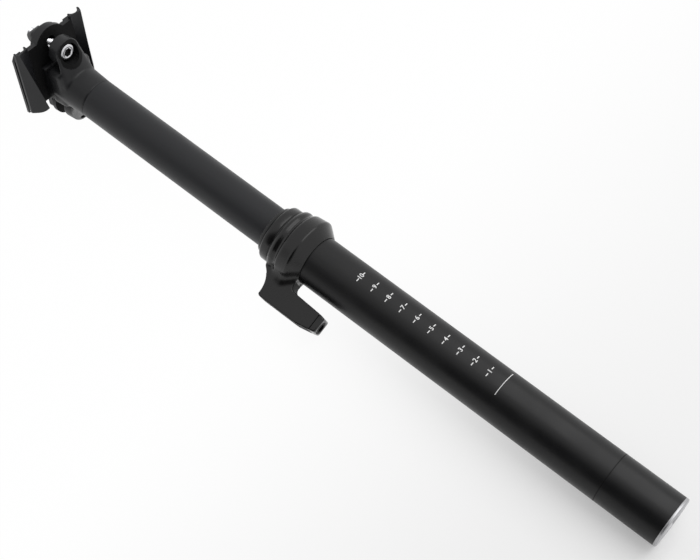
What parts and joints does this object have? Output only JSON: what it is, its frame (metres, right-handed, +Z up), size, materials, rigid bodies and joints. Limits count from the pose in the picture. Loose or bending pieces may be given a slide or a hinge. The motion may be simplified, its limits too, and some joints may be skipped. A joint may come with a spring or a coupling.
{
  "type": "bicycle dropper seatpost",
  "caption": "Telescoping bicycle seatpost in black aluminium with a cable arm on its collar and a two-bolt saddle clamp",
  "frame": {"origin": "centre of the post's lower end", "axes": "+Z up along the post, +X to the bicycle's front, +Y to its left"},
  "size_m": [0.0651, 0.0608, 0.4716],
  "materials": {
    "post": "satin black anodised",
    "stanchion": "satin black anodised",
    "collar": "gloss black anodised",
    "head": "satin black anodised",
    "bare_alloy": "turned",
    "steel": "ground",
    "nut": "black zinc",
    "chrome": "polished",
    "brass": "turned",
    "rubber": "matte",
    "bush": "matte"
  },
  "bodies": {
    "lower": {"outer_tube": "post", "bottom_cap": "post", "end_plug": "bare_alloy", "foot_bracket": "bare_alloy", "rocker_pin": "steel", "cartridge_rod": "steel", "rod_nut": "steel", "main_piston": "bare_alloy", "piston_seal": "rubber", "piston_nut": "steel", "top_out_bumper": "rubber", "collar_body": "collar", "wiper_cap": "collar", "wiper_seal": "rubber", "upper_bushing": "bush", "bushing_ring": "bush", "lever_pin": "steel", "cable_stop": "steel", "return_spring": "steel", "arm_cover": "collar", "cover_screws": "steel"},
    "upper": {"stanchion": "stanchion", "guide_keys": "brass", "lower_bushing": "bush", "cartridge_retainer": "bare_alloy", "seal_head": "bare_alloy", "rod_seal": "rubber", "cartridge_tube": "bare_alloy", "gas_cap": "bare_alloy", "fill_valve": "brass", "seat_head": "head", "clamp_bolts": "chrome", "bolt_washers": "chrome"},
    "float": {"floating_piston": "bare_alloy", "floating_seal": "rubber"},
    "lever": {"release_lever": "steel", "cable_anchor": "brass", "anchor_screw": "steel"},
    "strip": {"pull_strip": "steel"},
    "rocker": {"foot_rocker": "steel"},
    "valve": {"valve_pin": "steel"},
    "clamp": {"lower_cradle": "head", "upper_clamp": "head"},
    "nut_rear": {"rear_nut": "nut"},
    "nut_front": {"front_nut": "nut"}
  },
  "joints": [
    {"name": "post_slide", "type": "slide", "parent": "lower", "child": "upper", "axis": [0, 0, 1], "range_m": [-0.125, 0], "stiffness_N_per_m": 400, "springref_m": 0.35},
    {"name": "float_slide", "type": "slide", "parent": "upper", "child": "float", "axis": [0, 0, 1], "range_m": [0, 0.0278]},
    {"name": "lever_hinge", "type": "hinge", "parent": "lower", "child": "lever", "pos_m": [0.00909, 0.01949, 0.25], "axis": [-0.9063, 0.4226, 0], "range_deg": [0, 30], "deforming": ["return_spring"]},
    {"name": "strip_slide", "type": "slide", "parent": "lower", "child": "strip", "axis": [0, 0, 1], "range_m": [0, 0.00426]},
    {"name": "rocker_hinge", "type": "hinge", "parent": "lower", "child": "rocker", "pos_m": [-0.0038, -0.00816, 0.015], "axis": [0.9063, -0.4226, 0], "range_deg": [0, 10.93]},
    {"name": "valve_slide", "type": "slide", "parent": "lower", "child": "valve", "axis": [0, 0, 1], "range_m": [0, 0.00172], "stiffness_N_per_m": 300, "springref_m": -0.005},
    {"name": "clamp_tilt", "type": "hinge", "parent": "upper", "child": "clamp", "pos_m": [0.00295, 0, 0.46058], "axis": [0, 1, 0], "range_deg": [-10, 10]},
    {"name": "rear_nut_swivel", "type": "hinge", "parent": "clamp", "child": "nut_rear", "pos_m": [-0.01857, 0, 0.46516], "axis": [0, 1, 0], "range_deg": [-10, 10]},
    {"name": "front_nut_swivel", "type": "hinge", "parent": "clamp", "child": "nut_front", "pos_m": [0.02447, 0, 0.45601], "axis": [0, 1, 0], "range_deg": [-10, 10]}
  ],
  "couplings": [
    {"joint": "float_slide", "follows": "post_slide", "ratio": -0.22145},
    {"joint": "strip_slide", "follows": "valve_slide", "ratio": 2.4665},
    {"joint": "rocker_hinge", "follows": "valve_slide", "rad_per_m": 110.77},
    {"joint": "lever_hinge", "follows": "valve_slide", "rad_per_m": 304.26},
    {"joint": "rear_nut_swivel", "follows": "clamp_tilt", "ratio": -1},
    {"joint": "front_nut_swivel", "follows": "clamp_tilt", "ratio": -1}
  ]
}
